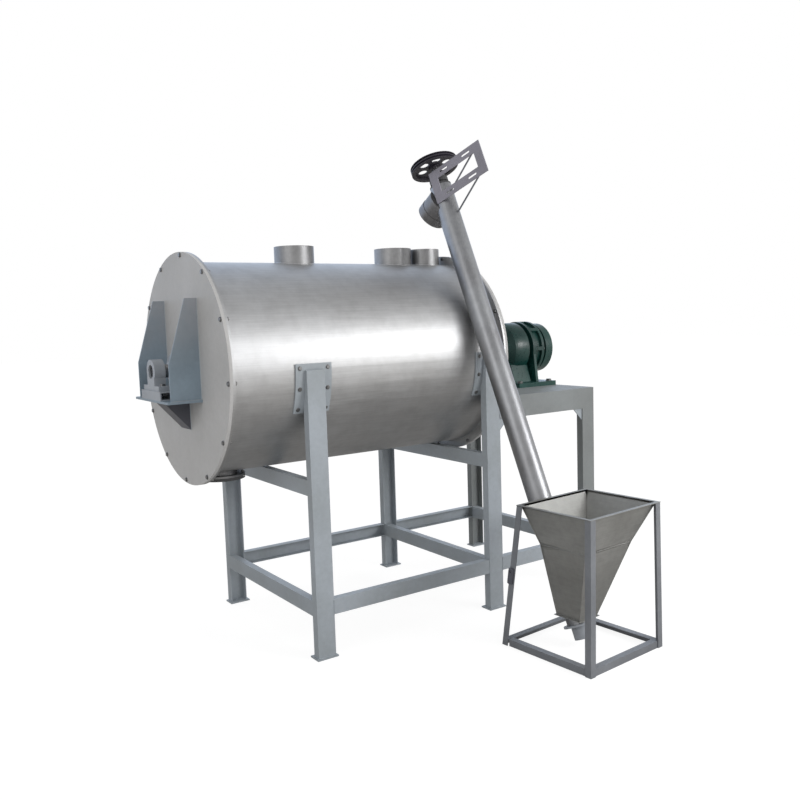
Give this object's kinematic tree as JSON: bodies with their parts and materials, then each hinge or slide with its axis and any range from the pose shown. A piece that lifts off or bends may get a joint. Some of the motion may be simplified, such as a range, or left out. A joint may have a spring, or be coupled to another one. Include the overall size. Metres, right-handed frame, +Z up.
{
  "type": "ribbon blender",
  "caption": "Horizontal ribbon mixing drum on a steel frame with a shaft-mounted reducer drive, slide-gate outlet and inclined screw feeder with hopper.",
  "frame": {"origin": "on the floor, in the middle of the anchor holes of the four legs under the drum", "axes": "+X along the drum towards the drive, +Y away from the feeder, +Z up"},
  "size_m": [2.669, 2.1664, 2.6683],
  "materials": {
    "drum_stainless": "brushed stainless steel",
    "end_plate_paint": "satin warm grey paint",
    "frame_paint": "satin pale blue-grey paint",
    "bracket_paint": "satin blue-grey paint",
    "bearing_paint": "satin grey paint",
    "gate_cast": "dark cast iron",
    "reducer_green": "gloss dark green paint",
    "bare_steel": "turned steel",
    "ribbon_stainless": "stainless steel",
    "fasteners": "dark zinc",
    "pulley_black": "dark cast iron",
    "stand_paint": "blue-grey steel"
  },
  "bodies": {
    "frame": {"bearing_bolts": "fasteners", "bearing_seat_tube": "bearing_paint", "bearing_shelf": "bracket_paint", "bracket_wings": "bracket_paint", "cross_rails": "frame_paint", "discharge_neck": "gate_cast", "discharge_spout": "drum_stainless", "drive_legs": "frame_paint", "drive_table_plate": "frame_paint", "drum_shell": "drum_stainless", "end_plate_bolts": "fasteners", "feeder_hopper": "drum_stainless", "feeder_tube": "drum_stainless", "foot_plates": "frame_paint", "frame_gussets": "frame_paint", "front_bearing_housing": "bearing_paint", "front_end_plate": "end_plate_paint", "front_far_leg": "frame_paint", "front_gland": "bearing_paint", "front_inlet_neck": "drum_stainless", "front_near_leg": "frame_paint", "gate_body": "gate_cast", "gate_bolts": "fasteners", "head_bearing_housing": "bearing_paint", "hopper_stand": "stand_paint", "middle_far_leg": "frame_paint", "middle_inlet_neck": "drum_stainless", "middle_near_leg": "frame_paint", "motor_frame": "stand_paint", "motor_frame_struts": "stand_paint", "rear_bearing_housing": "bearing_paint", "rear_bearing_pedestal": "frame_paint", "rear_end_plate": "end_plate_paint", "rear_gland": "bearing_paint", "rear_inlet_neck": "drum_stainless", "reducer_bolts": "fasteners", "reducer_housing": "reducer_green", "reducer_input_cover": "reducer_green", "reducer_pin_ring": "reducer_green", "saddle_bolts": "fasteners", "saddle_pads": "frame_paint", "shelf_brace": "bracket_paint", "side_rails": "frame_paint", "table_cross_beams": "frame_paint", "table_side_beams": "frame_paint", "tail_bearing_housing": "bearing_paint"},
    "agitator": {"main_shaft": "bare_steel", "ribbon_arms": "ribbon_stainless", "outer_ribbon_one": "ribbon_stainless", "outer_ribbon_two": "ribbon_stainless", "inner_ribbon_one": "ribbon_stainless", "inner_ribbon_two": "ribbon_stainless", "coupling_shaft_half": "bare_steel", "coupling_reducer_half": "bare_steel", "coupling_bolts": "fasteners", "reducer_output_shaft": "bare_steel"},
    "reducer_input": {"reducer_input_shaft": "bare_steel"},
    "conveyor": {"feeder_screw": "bare_steel", "feeder_pulley": "pulley_black"},
    "gate": {"gate_blade": "drum_stainless"}
  },
  "joints": [
    {"name": "agitator_spin", "type": "hinge", "parent": "frame", "child": "agitator", "pos_m": [0, 0, 1.48], "axis": [1, 0, 0], "continuous": true},
    {"name": "reducer_input_spin", "type": "hinge", "parent": "frame", "child": "reducer_input", "pos_m": [1.41, 0, 1.48], "axis": [1, 0, 0], "continuous": true},
    {"name": "feeder_spin", "type": "hinge", "parent": "frame", "child": "conveyor", "pos_m": [0.51297, -0.90343, 0.94786], "axis": [-0.027, 0.3866, 0.9219], "continuous": true},
    {"name": "gate_slide", "type": "slide", "parent": "frame", "child": "gate", "axis": [0, 1, 0], "range_m": [0, 0.19]}
  ],
  "couplings": [
    {"joint": "reducer_input_spin", "follows": "agitator_spin", "ratio": -43}
  ]
}
